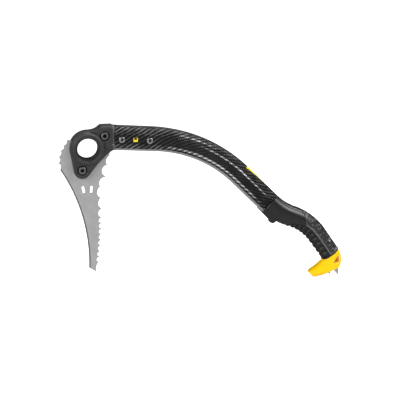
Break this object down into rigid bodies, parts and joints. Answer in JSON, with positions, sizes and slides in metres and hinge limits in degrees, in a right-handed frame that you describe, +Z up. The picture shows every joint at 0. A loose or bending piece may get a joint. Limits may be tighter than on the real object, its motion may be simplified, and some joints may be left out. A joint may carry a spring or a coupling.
{
  "type": "ice climbing tool",
  "caption": "Ice climbing tool: toothed steel pick bolted into a forged head, bent hollow shaft, moulded rubber grip and a horned pommel with a small spike.",
  "frame": {"origin": "centre of the round clip hole in the head, on the tool's middle plane", "axes": "+X along the tool from the head towards the pommel and spike, +Y across its thickness away from the bolt heads, +Z up from the pick's point towards the top of the head"},
  "size_m": [0.4782, 0.0298, 0.2788],
  "materials": {
    "head": "dark anodised",
    "pick_steel": "satin",
    "bolt_steel": "satin",
    "nut_steel": "plain",
    "collar": "machined",
    "shaft_composite": "woven, lacquered",
    "screw_steel": "bright",
    "tag": "yellow",
    "grip_rubber": "moulded",
    "rest_plastic": "moulded",
    "plug_alloy": "machined",
    "spike_steel": "satin",
    "pommel_plastic": "yellow, glossy"
  },
  "bodies": {
    "root": {"head": "head", "pick": "pick_steel", "pick_bolt_upper": "bolt_steel", "pick_bolt_lower": "bolt_steel", "pick_nut_upper": "nut_steel", "pick_nut_lower": "nut_steel", "shaft_collar": "collar", "shaft_tube": "shaft_composite", "shaft_screw_front": "screw_steel", "shaft_screw_rear": "screw_steel", "sleeve_nut_front": "screw_steel", "sleeve_nut_rear": "screw_steel", "id_tag": "tag", "finger_rest": "rest_plastic", "grip_sleeve": "grip_rubber", "grip_back_panel": "grip_rubber", "finger_pad": "grip_rubber", "grip_end_ring": "rest_plastic", "shaft_plug": "plug_alloy", "plug_pin": "nut_steel", "spike": "spike_steel", "spike_pins": "nut_steel", "pommel": "pommel_plastic"}
  },
  "joints": []
}
